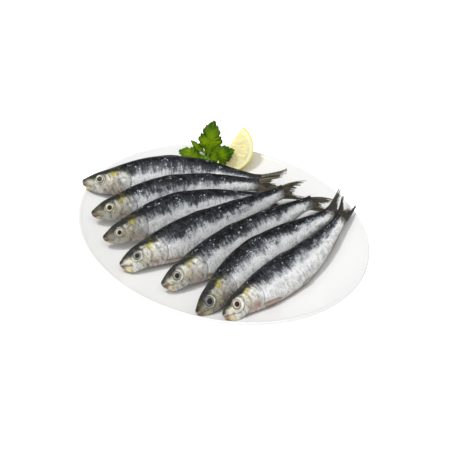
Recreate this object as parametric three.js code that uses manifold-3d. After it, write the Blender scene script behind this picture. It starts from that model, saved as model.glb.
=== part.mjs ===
// Seven raw sardines fanned out on an oval coupe plate, with a lemon wedge and parsley.
// Millimetres. The plate stands on z = 0, centred on the origin, its long axis along X.
import * as THREE from "three";
import Module from "manifold-3d";

const wasm = await Module();
wasm.setup();

// Plate
const PLATE_LENGTH = 260;
const PLATE_WIDTH = 206;
const PLATE_HEIGHT = 17.5;
const WELL_HEIGHT = 5.5;
const WALL = 4;
const RISE_INSET = 52; // the rim starts to rise this far inside the edge
const FOOT_INSET = 62; // outside of the foot ring, measured in from the edge
const FOOT_WIDTH = 5;
const PLATE_SIDES = 72;
const RISE_STEPS = 6;

// A standard sardine; each fish is this one scaled to its own length.
const SARDINE_LENGTH = 176;
const BODY_DEPTH = 33;
const BODY_WIDTH = 17;
const TAIL_LENGTH = 23;
const TAIL_SPREAD = 23;
const TAIL_THICKNESS = 1.6;
const FORK_DEPTH = 14;
const FISH_SIDES = 14;

// Lemon wedge and parsley
const LEMON_RADIUS = 23;
const LEMON_ANGLE = 50;
const LEAF_THICKNESS = 0.8;
const STEM_RADIUS = 1.1;

// Pieces that rest on each other are held this far apart.
const CLEARANCE = 0.3;

const DEGREE = Math.PI / 180;
const UP = new THREE.Vector3(0, 0, 1);

// Outline of the body from the nose (0) to the end of the scales (1).
// [place, back, belly] as shares of the depth, then half-width as a share of the width
const BODY = [
  [0.00, 0.05, 0.09, 0.10],
  [0.03, 0.12, 0.185, 0.20],
  [0.08, 0.22, 0.29, 0.31],
  [0.15, 0.29, 0.36, 0.37],
  [0.22, 0.36, 0.43, 0.43],
  [0.30, 0.42, 0.50, 0.47],
  [0.40, 0.46, 0.54, 0.50],
  [0.50, 0.45, 0.54, 0.48],
  [0.60, 0.41, 0.49, 0.43],
  [0.70, 0.36, 0.41, 0.35],
  [0.80, 0.28, 0.30, 0.26],
  [0.90, 0.21, 0.20, 0.17],
  [0.96, 0.18, 0.17, 0.12],
  [1.00, 0.19, 0.18, 0.09],
];

// Tail fin, [share of its length, half-spread as a share of the whole spread]
const TAIL = [
  [0.35, 0.66],
  [0.70, 0.88],
  [1.00, 1.00],
];

// How each fish lies. nose: x, y. turn: heading at the nose, the belly, the wrist of the
// tail and the end of the tail. height: of nose, belly and tail above the well.
// lean: of the back away from upright, at the nose and at the tail.
const FISH = [
  { nose: [-130, -16], turn: [28, 40, 16, 36], height: [20, 16, 17], lean: [40, 40], length: 184 },
  { nose: [-101, -45], turn: [56, 50, 32, 10], height: [18, 15, 18], lean: [35, 36], length: 174 },
  { nose: [-77, -64], turn: [57, 57, 37, 34], height: [17, 15, 13], lean: [34, 40], length: 172 },
  { nose: [-49, -82], turn: [67, 58, 61, 52], height: [14, 16, 22], lean: [40, 32], length: 184 },
  { nose: [-8, -84], turn: [71, 67, 64, 32], height: [15, 16, 20], lean: [41, 43], length: 181 },
  { nose: [31, -96], turn: [79, 75, 63, 88], height: [13, 18, 22], lean: [47, 47], length: 181 },
  { nose: [52, -90], turn: [79, 71, 81, 98], height: [18, 16, 22], lean: [52, 57], length: 172 },
];
const TURN_KNOTS = [0, 0.4, 0.8, 1.15];
const HEIGHT_KNOTS = [0, 0.55, 1.15];

// ---------------------------------------------------------------- helpers

// The smooth curve through the knots, read at t.
function through(knots, values, t) {
  let sum = 0;
  for (let i = 0; i < knots.length; i += 1) {
    let weight = values[i];
    for (let j = 0; j < knots.length; j += 1) {
      if (j !== i) weight *= (t - knots[j]) / (knots[i] - knots[j]);
    }
    sum += weight;
  }
  return sum;
}

// A geometry from points and triangles, turned inside out if its volume is negative.
function solid(points, triangles) {
  let volume = 0;
  for (const [a, b, c] of triangles) {
    volume += points[a].dot(new THREE.Vector3().crossVectors(points[b], points[c]));
  }
  const index = [];
  for (const [a, b, c] of triangles) {
    index.push(...(volume > 0 ? [a, b, c] : [a, c, b]));
  }
  const geometry = new THREE.BufferGeometry();
  const flat = points.flatMap((p) => [p.x, p.y, p.z]);
  geometry.setAttribute("position", new THREE.Float32BufferAttribute(flat, 3));
  geometry.setIndex(index);
  geometry.computeVertexNormals();
  return geometry;
}

// A closed skin over rings of equal count, with a point at each end.
function loft(rings, first, last) {
  const sides = rings[0].length;
  const points = [...rings.flat(), first, last];
  const start = points.length - 2;
  const end = points.length - 1;
  const triangles = [];
  for (let r = 0; r + 1 < rings.length; r += 1) {
    for (let i = 0; i < sides; i += 1) {
      const a = r * sides + i;
      const b = r * sides + ((i + 1) % sides);
      triangles.push([a, b, b + sides], [a, b + sides, a + sides]);
    }
  }
  const tail = (rings.length - 1) * sides;
  for (let i = 0; i < sides; i += 1) {
    const next = (i + 1) % sides;
    triangles.push([start, next, i], [end, tail + i, tail + next]);
  }
  return solid(points, triangles);
}

function toManifold(geometry) {
  return new wasm.Manifold(new wasm.Mesh({
    numProp: 3,
    vertProperties: new Float32Array(geometry.attributes.position.array),
    triVerts: new Uint32Array(geometry.index.array),
  }));
}

function fromManifold(body) {
  const mesh = body.getMesh();
  const geometry = new THREE.BufferGeometry();
  const flat = Array.from(mesh.vertProperties);
  geometry.setAttribute("position", new THREE.Float32BufferAttribute(flat, 3));
  geometry.setIndex(Array.from(mesh.triVerts));
  geometry.computeVertexNormals();
  return geometry;
}

// The largest single piece of a body once the cutters are taken away.
function cleared(geometry, cutters) {
  let body = toManifold(geometry);
  for (const cutter of cutters) body = body.subtract(toManifold(cutter));
  const pieces = body.decompose();
  pieces.sort((a, b) => b.volume() - a.volume());
  return fromManifold(pieces[0]);
}

// ------------------------------------------------------------------ plate

// Height of the plate's upper surface at a distance in from the edge.
function plateTop(inset) {
  const rise = Math.max(0, 1 - inset / RISE_INSET);
  return WELL_HEIGHT + (PLATE_HEIGHT - WELL_HEIGHT) * rise * rise;
}

function plateRing(inset, height) {
  const ring = [];
  for (let i = 0; i < PLATE_SIDES; i += 1) {
    const angle = (2 * Math.PI * i) / PLATE_SIDES;
    const x = (PLATE_LENGTH / 2 - inset) * Math.cos(angle);
    const y = (PLATE_WIDTH / 2 - inset) * Math.sin(angle);
    ring.push(new THREE.Vector3(x, y, height));
  }
  return ring;
}

function plateGeometry(extra = 0) {
  const under = WELL_HEIGHT - WALL;
  const rings = [
    plateRing(FOOT_INSET + FOOT_WIDTH, under),
    plateRing(FOOT_INSET + FOOT_WIDTH - 1, 0),
    plateRing(FOOT_INSET + 1, 0),
    plateRing(FOOT_INSET, under),
  ];
  for (let i = 0; i < RISE_STEPS; i += 1) {
    const inset = RISE_INSET * (1 - i / RISE_STEPS);
    rings.push(plateRing(inset, plateTop(inset) - WALL));
  }
  rings.push(plateRing(0.6, PLATE_HEIGHT - 0.75 * WALL));
  rings.push(plateRing(0, PLATE_HEIGHT - 0.45 * WALL + extra));
  rings.push(plateRing(0.5, PLATE_HEIGHT + extra));
  for (let i = RISE_STEPS - 1; i >= 0; i -= 1) {
    const inset = RISE_INSET * (1 - i / RISE_STEPS);
    rings.push(plateRing(inset, plateTop(inset) + extra));
  }
  const bottom = new THREE.Vector3(0, 0, under);
  return loft(rings, bottom, new THREE.Vector3(0, 0, WELL_HEIGHT + extra));
}

// Distance in from the plate's edge of the oval that passes through a point.
function insetAt(x, y) {
  let low = 0;
  let high = PLATE_WIDTH / 2 - 1;
  for (let step = 0; step < 24; step += 1) {
    const middle = (low + high) / 2;
    const across = x / (PLATE_LENGTH / 2 - middle);
    const along = y / (PLATE_WIDTH / 2 - middle);
    if (across * across + along * along > 1) high = middle;
    else low = middle;
  }
  return low;
}

// How far a geometry must rise to clear the plate.
function liftOffPlate(geometry) {
  const position = geometry.attributes.position;
  let lift = -Infinity;
  for (let i = 0; i < position.count; i += 1) {
    const surface = plateTop(insetAt(position.getX(i), position.getY(i)));
    lift = Math.max(lift, surface - position.getZ(i));
  }
  return lift + CLEARANCE;
}

// --------------------------------------------------------------- sardines

// Places along one fish, each with its position and its three directions.
function spine(fish, count) {
  const scale = fish.length / SARDINE_LENGTH;
  const bodyLength = (SARDINE_LENGTH - TAIL_LENGTH) * scale;
  const end = TURN_KNOTS[3];
  const frames = [];
  const at = new THREE.Vector3(fish.nose[0], fish.nose[1], 0);
  for (let i = 0; i <= count; i += 1) {
    const t = (end * i) / count;
    const heading = through(TURN_KNOTS, fish.turn, t) * DEGREE;
    if (i > 0) {
      const before = through(TURN_KNOTS, fish.turn, t - end / count / 2) * DEGREE;
      const step = (end / count) * bodyLength;
      at.x += step * Math.cos(before);
      at.y += step * Math.sin(before);
    }
    at.z = WELL_HEIGHT + through(HEIGHT_KNOTS, fish.height, t);
    const slope = (through(HEIGHT_KNOTS, fish.height, t + 0.01)
      - through(HEIGHT_KNOTS, fish.height, t - 0.01)) / (0.02 * bodyLength);
    const along = new THREE.Vector3(Math.cos(heading), Math.sin(heading), slope).normalize();
    const side = new THREE.Vector3().crossVectors(UP, along).normalize();
    const rise = new THREE.Vector3().crossVectors(along, side);
    const lean = (fish.lean[0] + (fish.lean[1] - fish.lean[0]) * (t / end)) * DEGREE;
    const back = rise.multiplyScalar(Math.cos(lean)).addScaledVector(side, Math.sin(lean));
    const flank = new THREE.Vector3().crossVectors(along, back);
    frames.push({ t, at: at.clone(), along, back, flank });
  }
  return frames;
}

// The frame at t, between two places of the spine.
function frameAt(frames, t) {
  const place = Math.min(Math.max(t / frames[frames.length - 1].t, 0), 1) * (frames.length - 1);
  const low = Math.min(Math.floor(place), frames.length - 2);
  const mix = place - low;
  const blend = (key) => frames[low][key].clone().lerp(frames[low + 1][key], mix);
  return { at: blend("at"), along: blend("along"), back: blend("back"), flank: blend("flank") };
}

// One sardine. grow makes it that much fatter all round, to cut a neighbour with.
function sardineGeometry(fish, grow = 0) {
  const scale = fish.length / SARDINE_LENGTH;
  const bodyLength = (SARDINE_LENGTH - TAIL_LENGTH) * scale;
  const frames = spine(fish, 46);
  const rings = [];
  const ring = (t, up, down, half, fork) => {
    const points = [];
    for (let i = 0; i < FISH_SIDES; i += 1) {
      const angle = (2 * Math.PI * i) / FISH_SIDES;
      const high = (up - down) / 2 + ((up + down) / 2) * Math.cos(angle);
      const wide = half * Math.sin(angle) * (1 + 0.15 * Math.cos(angle));
      const cut = fork * (1 - Math.abs(Math.cos(angle)));
      const frame = frameAt(frames, t - cut / bodyLength);
      points.push(frame.at.clone()
        .addScaledVector(frame.back, high)
        .addScaledVector(frame.flank, wide));
    }
    rings.push(points);
  };
  for (const [t, back, belly, half] of BODY) {
    const depth = BODY_DEPTH * scale;
    ring(t, back * depth + grow, belly * depth + grow, half * BODY_WIDTH * scale + grow, 0);
  }
  const reach = (TAIL_LENGTH * scale + grow) / bodyLength;
  const forkDepth = FORK_DEPTH * scale - 3 * grow;
  for (const [place, spread] of TAIL) {
    const half = (spread * TAIL_SPREAD * scale) / 2 + grow;
    const thick = (TAIL_THICKNESS / 2) * (1.3 - 0.5 * place) + grow;
    ring(1 + reach * place, half, half, thick, place * forkDepth);
  }
  const nose = frameAt(frames, 0);
  const fork = frameAt(frames, 1 + reach - forkDepth / bodyLength);
  nose.at.addScaledVector(nose.along, -1.2 - grow);
  fork.at.addScaledVector(fork.along, 0.5 + grow);
  return loft(rings, nose.at, fork.at);
}

// ---------------------------------------------------------------- garnish

// Direction across the plate in which the wedge and the parsley are set out.
const ACROSS = new THREE.Vector3(0.875, 0.483, 0);
const AWAY = new THREE.Vector3(-0.483, 0.875, 0);
const LEMON_CENTRE = new THREE.Vector3(-36, 77, 32);
const LEMON_TILT = 25;
const LEMON_TURN = 55;
const LEMON_RINGS = 16;
const LEMON_SLICES = 6;

// grow moves every face of the wedge out, to cut a neighbour with.
function lemonGeometry(grow = 0) {
  const tilt = LEMON_TILT * DEGREE;
  const turn = LEMON_TURN * DEGREE;
  const steep = UP.clone().multiplyScalar(Math.cos(tilt)).addScaledVector(AWAY, Math.sin(tilt));
  const deep = AWAY.clone().multiplyScalar(Math.cos(tilt)).addScaledVector(UP, -Math.sin(tilt));
  const edge = ACROSS.clone().multiplyScalar(Math.cos(turn)).addScaledVector(steep, Math.sin(turn));
  const out = ACROSS.clone().multiplyScalar(Math.sin(turn)).addScaledVector(steep, -Math.cos(turn));
  const centre = LEMON_CENTRE.clone().addScaledVector(deep, -grow).addScaledVector(out, -grow);
  const radius = LEMON_RADIUS + 2 * grow;
  const rings = [];
  for (let r = 1; r < LEMON_RINGS; r += 1) {
    const around = (Math.PI * r) / LEMON_RINGS;
    const middle = centre.clone().addScaledVector(edge, radius * Math.cos(around));
    const ring = [middle];
    for (let s = 0; s <= LEMON_SLICES; s += 1) {
      const open = ((LEMON_ANGLE * s) / LEMON_SLICES) * DEGREE;
      const reach = radius * Math.sin(around);
      ring.push(middle.clone()
        .addScaledVector(out, reach * Math.cos(open))
        .addScaledVector(deep, reach * Math.sin(open)));
    }
    rings.push(ring);
  }
  const tip = centre.clone().addScaledVector(edge, radius);
  return loft(rings, tip, centre.clone().addScaledVector(edge, -radius));
}

// Right half of a lobed leaflet one unit long, from the base to the tip.
const LOBES = [
  [0.03, 0.00], [0.07, 0.13], [0.17, 0.22], [0.31, 0.24], [0.35, 0.30], [0.31, 0.35],
  [0.39, 0.41], [0.40, 0.49], [0.33, 0.51], [0.34, 0.59], [0.27, 0.60], [0.22, 0.57],
  [0.29, 0.67], [0.28, 0.76], [0.21, 0.76], [0.21, 0.85], [0.13, 0.86], [0.11, 0.94],
  [0.04, 0.99],
];

// A leaflet from base to tip, facing the way given, curled by a sag across its middle.
function leafGeometry(base, tip, facing, width, curl, grow = 0) {
  const along = new THREE.Vector3().subVectors(tip, base);
  const length = along.length();
  along.normalize();
  const side = new THREE.Vector3().crossVectors(along, facing).normalize();
  const normal = new THREE.Vector3().crossVectors(side, along);
  const outline = [...LOBES, ...LOBES.map(([x, y]) => [-x, y]).reverse()];
  const flat = outline.map(([x, y]) => new THREE.Vector2(x * width, y));
  const faces = THREE.ShapeUtils.triangulateShape(flat, []);
  const points = [];
  for (const level of [0.5, -0.5]) {
    for (const p of flat) {
      const sag = curl * length * (4 * p.y * (1 - p.y) - 6 * p.x * p.x);
      points.push(base.clone()
        .addScaledVector(along, p.y * length)
        .addScaledVector(side, p.x * length)
        .addScaledVector(normal, sag + level * (LEAF_THICKNESS + 2 * grow)));
    }
  }
  const n = flat.length;
  const triangles = [];
  for (const [a, b, c] of faces) triangles.push([a, b, c], [n + a, n + c, n + b]);
  for (let i = 0; i < n; i += 1) {
    const next = (i + 1) % n;
    const order = THREE.ShapeUtils.isClockWise(flat) ? [next, i] : [i, next];
    triangles.push([order[0], n + order[0], n + order[1]]);
    triangles.push([order[0], n + order[1], order[1]]);
  }
  return solid(points, triangles);
}

function rodGeometry(path, radius) {
  const rings = [];
  const curve = new THREE.CatmullRomCurve3(path);
  for (let i = 0; i <= 10; i += 1) {
    const at = curve.getPoint(i / 10);
    const along = curve.getTangent(i / 10);
    const side = new THREE.Vector3().crossVectors(along, UP).normalize();
    const rise = new THREE.Vector3().crossVectors(side, along);
    const ring = [];
    for (let k = 0; k < 8; k += 1) {
      const angle = (2 * Math.PI * k) / 8;
      ring.push(at.clone()
        .addScaledVector(side, radius * Math.cos(angle))
        .addScaledVector(rise, radius * Math.sin(angle)));
    }
    rings.push(ring);
  }
  return loft(rings, path[0], path[path.length - 1]);
}

// The leaflets fan out from the knot at the top of the stem.
const KNOT = new THREE.Vector3(-54, 71, 17);
const STEM = [[0, 0, 0.6], [-6, -3, -2], [-24, -14, -5]];
const LEAF_FACING = AWAY.clone().multiplyScalar(-0.72).addScaledVector(UP, 0.69);
const LEAVES = [
  { name: "parsley_leaf_centre", start: [0, 1, 3], tip: [-4, 19, 30], width: 0.86, curl: 0.05 },
  { name: "parsley_leaf_left", start: [-3, -1, 1], tip: [-26, -7, 4], width: 0.8, curl: 0.1 },
  { name: "parsley_leaf_right", start: [3, 0, 1], tip: [26, 4, 18], width: 0.9, curl: 0.1 },
  { name: "parsley_leaf_spike", start: [-3, 1, 5], tip: [-18, 1.5, 14], width: 0.45, curl: 0.05 },
];

// ------------------------------------------------------------------ build

const group = new THREE.Group();
const looks = {
  glaze: new THREE.MeshStandardMaterial({ color: 0xf5f5f2, roughness: 0.15, metalness: 0 }),
  skin: new THREE.MeshStandardMaterial({ color: 0xaab0b4, roughness: 0.3, metalness: 0.4 }),
  lemon: new THREE.MeshStandardMaterial({ color: 0xf2dc5a, roughness: 0.45, metalness: 0 }),
  leaf: new THREE.MeshStandardMaterial({ color: 0x3f7a14, roughness: 0.5, metalness: 0 }),
};

function add(name, geometry, look) {
  const mesh = new THREE.Mesh(geometry, looks[look].clone());
  mesh.name = name;
  group.add(mesh);
}

add("plate", plateGeometry(), "glaze");

// Each fish settles onto the plate, then gives way where a nearer fish lies against it.
const grownPlate = plateGeometry(CLEARANCE / 2);
const lifts = FISH.map((fish) => liftOffPlate(sardineGeometry(fish)));
const place = (fish, index, grow) => sardineGeometry(fish, grow).translate(0, 0, lifts[index]);
FISH.forEach((fish, index) => {
  const nearer = FISH.slice(index + 1).map((other, k) => place(other, index + 1 + k, CLEARANCE));
  add(`sardine_${index + 1}`, cleared(place(fish, index, 0), [...nearer, grownPlate]), "skin");
});

// The garnish lies behind the first fish, each piece clear of those placed before it.
const placed = FISH.slice(0, 3).map((fish, index) => place(fish, index, CLEARANCE));
placed.push(grownPlate);

const lemonLift = liftOffPlate(lemonGeometry());
add("lemon_wedge", cleared(lemonGeometry().translate(0, 0, lemonLift), placed), "lemon");
placed.push(lemonGeometry(CLEARANCE).translate(0, 0, lemonLift));

const fromKnot = (offset) => KNOT.clone().add(new THREE.Vector3(...offset));
const stemPath = STEM.map(fromKnot);
const stemLift = Math.max(0, liftOffPlate(rodGeometry(stemPath, STEM_RADIUS)));
const stem = (radius) => rodGeometry(stemPath, radius).translate(0, 0, stemLift);
add("parsley_stem", cleared(stem(STEM_RADIUS), placed), "leaf");
placed.push(stem(STEM_RADIUS + CLEARANCE));

for (const leaf of LEAVES) {
  const blade = (grow) => leafGeometry(fromKnot(leaf.start), fromKnot(leaf.tip), LEAF_FACING,
    leaf.width, leaf.curl, grow);
  add(leaf.name, cleared(blade(0), placed), "leaf");
  placed.push(blade(CLEARANCE));
}

export default group;
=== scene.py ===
"""Seven raw sardines fanned on an oval white plate, with a lemon wedge and parsley."""
import math

import bpy
import numpy as np
from mathutils import Matrix, Vector


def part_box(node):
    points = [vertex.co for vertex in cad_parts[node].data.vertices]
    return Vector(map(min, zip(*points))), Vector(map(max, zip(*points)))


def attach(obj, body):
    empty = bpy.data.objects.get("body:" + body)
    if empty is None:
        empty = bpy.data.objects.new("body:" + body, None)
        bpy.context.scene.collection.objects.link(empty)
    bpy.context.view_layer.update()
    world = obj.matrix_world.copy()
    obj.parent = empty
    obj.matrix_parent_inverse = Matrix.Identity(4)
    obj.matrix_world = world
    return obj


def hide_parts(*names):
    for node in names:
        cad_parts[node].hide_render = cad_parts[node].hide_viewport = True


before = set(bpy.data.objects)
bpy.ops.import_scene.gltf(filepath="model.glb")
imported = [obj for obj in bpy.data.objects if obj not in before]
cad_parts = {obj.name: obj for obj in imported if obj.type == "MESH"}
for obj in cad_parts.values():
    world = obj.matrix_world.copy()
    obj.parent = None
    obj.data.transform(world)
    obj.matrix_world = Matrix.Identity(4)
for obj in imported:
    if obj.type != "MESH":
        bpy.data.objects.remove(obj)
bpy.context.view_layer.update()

MM = 0.001

# --------------------------------------------------------------- arrangement
# A standard sardine; each fish is this one scaled to its own length (mm).
SARDINE_LENGTH = 176
BODY_DEPTH = 33
BODY_WIDTH = 17
TAIL_LENGTH = 23
TAIL_SPREAD = 23
FORK_DEPTH = 14
BODY_LENGTH = SARDINE_LENGTH - TAIL_LENGTH

# Sizes are in mm and angles in degrees. nose: x, y. turn: heading at the nose, belly,
# wrist and tail end. height: of the nose, belly and tail end. lean: of the back, at the
# nose and tail end. eye, ring: radii of the eye and its pale ring. at: the eye's place.
# pupil: share of the eye. gold: yellow round the eye. chin: extra depth of the jaw.
# head: brightness. snout: darkness. pale: lightness of the lower flank, its own silver
# with less painted shade from the fish alongside. red: blood along it. spots: strength.
# fin: brightness of the tail. tail, lobes: length and spread of its rays. bend: their sweep
# towards the back.
FISH = [
    dict(length=184, nose=(-130, -16), turn=(28, 40, 16, 36), height=(20, 16, 17), lean=(40, 40),
         eye=3.6, at=(14.3, 2.0), pupil=0.6, ring=4.2, iris=(222, 214, 182),
         head=0.88, snout=0.6, pale=0.3, red=0.2, spots=0.3,
         fin=1.4, tail=1.3, lobes=(1.0, 0.7)),
    dict(length=174, nose=(-101, -45), turn=(56, 50, 32, 10), height=(18, 15, 18), lean=(35, 36),
         eye=4.0, at=(15.0, 1.6), pupil=0.52, ring=4.6, iris=(222, 214, 178),
         head=0.72, snout=0.8, pale=0.0, red=0.2, spots=1.0),
    dict(length=172, nose=(-77, -64), turn=(57, 57, 37, 34), height=(17, 15, 13), lean=(34, 40),
         eye=3.8, at=(13.4, 0.8), pupil=0.5, ring=4.5, iris=(218, 212, 184),
         head=0.72, snout=0.8, pale=0.1, red=0.3, spots=0.3),
    dict(length=184, nose=(-49, -82), turn=(67, 58, 61, 52), height=(14, 16, 22), lean=(40, 32),
         eye=3.4, at=(14.0, 1.6), pupil=0.56, ring=4.6, iris=(156, 154, 142), gold=0.4,
         chin=0.36, head=1.15, snout=0.3, pale=0.4, red=0.3, spots=0.4,
         tail=0.92, lobes=(0.5, 0.9), bend=-5),
    dict(length=181, nose=(-8, -84), turn=(71, 67, 64, 32), height=(15, 16, 20), lean=(41, 43),
         eye=3.7, at=(12.6, 1.0), pupil=0.54, ring=5.4, iris=(166, 164, 150), gold=0.4,
         chin=0.28, head=1.0, snout=0.45, pale=0.1, red=0.4, spots=1.0,
         tail=0.85, lobes=(0.1, 1.0), bend=-4),
    dict(length=181, nose=(31, -96), turn=(79, 75, 63, 88), height=(13, 18, 22), lean=(47, 47),
         eye=4.1, at=(11.8, 0.6), pupil=0.58, ring=5.1, iris=(120, 122, 118), gold=1.0,
         chin=0.05, head=0.66, snout=0.8, pale=0.1, red=0.2, spots=0.5,
         fin=0.6),
    dict(length=172, nose=(52, -90), turn=(79, 71, 81, 98), height=(18, 16, 22), lean=(52, 57),
         eye=4.1, at=(13.0, 1.0), pupil=0.54, ring=6.7, iris=(214, 200, 178),
         chin=0.36, head=1.12, snout=0.35, pale=1.0, red=1.0, spots=0.3,
         fin=0.35, lobes=(0.7, 0.6), bend=1),
]
# Shares of the body's length at which turn and height are given
TURN_KNOTS = (0, 0.4, 0.8, 1.15)
HEIGHT_KNOTS = (0, 0.55, 1.15)

# Outline from the nose (0) to the end of the scales (1): place, back and belly as
# shares of the depth, half-width as a share of the width.
BODY = np.array([
    (0.00, 0.05, 0.09, 0.10),
    (0.03, 0.12, 0.185, 0.20),
    (0.08, 0.22, 0.29, 0.31),
    (0.15, 0.29, 0.36, 0.37),
    (0.22, 0.36, 0.43, 0.43),
    (0.30, 0.42, 0.50, 0.47),
    (0.40, 0.46, 0.54, 0.50),
    (0.50, 0.45, 0.54, 0.48),
    (0.60, 0.41, 0.49, 0.43),
    (0.70, 0.36, 0.41, 0.35),
    (0.80, 0.28, 0.30, 0.26),
    (0.90, 0.21, 0.20, 0.17),
    (0.96, 0.18, 0.17, 0.12),
    (1.00, 0.19, 0.18, 0.09),
])
SNOUT = 0.03  # share of the length over which the snout is rounded off

# Places on the side of the standard sardine: mm back from the nose, mm above the axis
GILL_CENTRE = (22.0, -1.5)
GILL_RADIUS = 17.5
CHEEK_CENTRE = (14.0, 0.0)
CHEEK_RADIUS = 11.5
HEAD_END = 42  # no bones show behind this

TAIL_START = 0.975  # share of the length at which the rays leave the body
WRIST_HALF = 4.9  # half the height of the rays' root, mm
TAIL_THICKNESS = 0.4 * MM
FIN_THICKNESS = 0.3 * MM
LEAF_THICKNESS = 0.4 * MM

# Camera: degrees to the right of -Y, degrees up, and distance from its aim (m)
CAMERA_AZIMUTH = 28.9
CAMERA_ELEVATION = 44
CAMERA_DISTANCE = 1.0
CAMERA_AIM = Vector((-0.0047, 0.0177, 0))
LENS = 90.9
SENSOR = 36


# ------------------------------------------------------------------- helpers
def srgb(*values):
    """Display colour, 0 to 255, as linear light."""
    c = np.array(values, float) / 255
    return np.where(c <= 0.04045, c / 12.92, ((c + 0.055) / 1.055) ** 2.4)


def ramp(x, low, high):
    """Smooth step from 0 at low to 1 at high."""
    s = np.clip((x - low) / (high - low), 0, 1)
    return s * s * (3 - 2 * s)


def bell(x, width):
    """1 where x is 0, falling away over width."""
    return np.exp(-((x / width) ** 2))


def through(knots, values, t):
    """The polynomial that takes the values at the knots, read at t."""
    total = np.zeros_like(t)
    for i, value in enumerate(values):
        weight = np.full_like(t, float(value))
        for j, knot in enumerate(knots):
            if j != i:
                weight *= (t - knot) / (knots[i] - knot)
        total += weight
    return total


def smooth(x, xs, ys):
    """Cubic through the points (xs, ys)."""
    slopes = np.gradient(ys, xs)
    i = np.clip(np.searchsorted(xs, x) - 1, 0, len(xs) - 2)
    h = xs[i + 1] - xs[i]
    s = np.clip((x - xs[i]) / h, 0, 1)
    return ((2 * s**3 - 3 * s**2 + 1) * ys[i] + (s**3 - 2 * s**2 + s) * h * slopes[i]
            + (3 * s**2 - 2 * s**3) * ys[i + 1] + (s**3 - s**2) * h * slopes[i + 1])


def grain(x, y, seed):
    """Smooth random field, 0 to 1, one bump per unit of x and y."""
    table = np.random.default_rng(seed).random((64, 64))
    xi = np.floor(x).astype(int)
    yi = np.floor(y).astype(int)
    fx = x - xi
    fy = y - yi
    fx = fx * fx * (3 - 2 * fx)
    fy = fy * fy * (3 - 2 * fy)
    a = table[xi % 64, yi % 64]
    b = table[(xi + 1) % 64, yi % 64]
    c = table[xi % 64, (yi + 1) % 64]
    d = table[(xi + 1) % 64, (yi + 1) % 64]
    return (a * (1 - fx) + b * fx) * (1 - fy) + (c * (1 - fx) + d * fx) * fy


def unit(v):
    """The same directions with length 1."""
    return v / np.linalg.norm(v, axis=-1, keepdims=True)


def mesh_object(name, points, faces, material, colours=None, uv=None):
    """A smooth mesh of points (m) and faces, with a colour (and alpha) and a uv per point."""
    mesh = bpy.data.meshes.new(name)
    mesh.from_pydata([tuple(p) for p in np.asarray(points, float)], [], faces)
    mesh.update()
    mesh.polygons.foreach_set("use_smooth", [True] * len(mesh.polygons))
    if colours is not None:
        attribute = mesh.color_attributes.new("paint", "FLOAT_COLOR", "POINT")
        attribute.data.foreach_set("color", np.asarray(colours, float).ravel())
    if uv is not None:
        layer = mesh.uv_layers.new(name="skin")
        loops = np.zeros(len(mesh.loops), int)
        mesh.loops.foreach_get("vertex_index", loops)
        layer.data.foreach_set("uv", np.asarray(uv, float)[loops].ravel())
    obj = bpy.data.objects.new(name, mesh)
    bpy.context.collection.objects.link(obj)
    mesh.materials.append(material)
    return obj


def grid_faces(rows, columns, closed=False, start=0):
    """Quads between rows of points; closed joins each row's end to its beginning."""
    faces = []
    last = columns if closed else columns - 1
    for r in range(rows - 1):
        for c in range(last):
            a = start + r * columns + c
            b = start + r * columns + (c + 1) % columns
            faces.append((a, b, b + columns, a + columns))
    return faces


def paint_over(colours, mask, colour):
    """Lays a colour over rows of colours, as far as mask says."""
    m = np.clip(mask, 0, 1)[..., None]
    return colours * (1 - m) + np.asarray(colour) * m


def cap_ends(faces, sides, rows, first, last):
    """Closes a round grid with fans to the points first and last."""
    end = (rows - 1) * sides
    for k in range(sides):
        faces.append((first, (k + 1) % sides, k))
        faces.append((last, end + k, end + (k + 1) % sides))


def thicken(obj, thickness, offset):
    """Gives a sheet its thickness: offset -1 is to the inside, 0 to both sides."""
    modifier = obj.modifiers.new("thick", "SOLIDIFY")
    modifier.thickness = thickness
    modifier.offset = offset


def direction_from(azimuth, elevation):
    """The way to a place seen at degrees to the right of -Y and degrees up."""
    a = math.radians(azimuth)
    e = math.radians(elevation)
    return Vector((math.sin(a) * math.cos(e), -math.cos(a) * math.cos(e), math.sin(e)))


def mount(obj, nodes):
    """Attaches a piece to the root body and hides the CAD nodes it stands for."""
    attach(obj, "root")
    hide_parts(*nodes)


# ----------------------------------------------------------------- materials
def new_material(name, **settings):
    """A Principled material; settings are its sockets, with _ for a space."""
    material = bpy.data.materials.new(name)
    material.use_nodes = True
    shader = material.node_tree.nodes["Principled BSDF"]
    for key, value in settings.items():
        shader.inputs[key.replace("_", " ")].default_value = value
    return material, material.node_tree, shader


def node(tree, kind, inputs=None, **settings):
    """A shader node, with sockets linked or set, and its properties."""
    made = tree.nodes.new(kind)
    for key, value in settings.items():
        setattr(made, key, value)
    for key, value in (inputs or {}).items():
        if isinstance(value, bpy.types.NodeSocket):
            tree.links.new(value, made.inputs[key])
        else:
            made.inputs[key].default_value = value
    return made


def arithmetic(tree, operation, a, b):
    return node(tree, "ShaderNodeMath", {0: a, 1: b}, operation=operation).outputs[0]


def product(tree, first, *others):
    for other in others:
        first = arithmetic(tree, "MULTIPLY", first, other)
    return first


def blend(tree, factor, a, b, mode="MIX"):
    """Colour a changed to or by colour b, as far as factor says."""
    made = node(tree, "ShaderNodeMix", data_type="RGBA", blend_type=mode)
    for index, value in ((0, factor), (6, a), (7, b)):
        if isinstance(value, bpy.types.NodeSocket):
            tree.links.new(value, made.inputs[index])
        else:
            made.inputs[index].default_value = value
    return made.outputs[2]


def colour_ramp(tree, value, stops):
    """Colour read from stops of position and colour."""
    made = node(tree, "ShaderNodeValToRGB", {0: value})
    elements = made.color_ramp.elements
    while len(elements) < len(stops):
        elements.new(0.5)
    for element, (position, colour) in zip(elements, stops):
        element.position = position
        element.color = (*colour, 1)
    return made.outputs[0]


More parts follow.
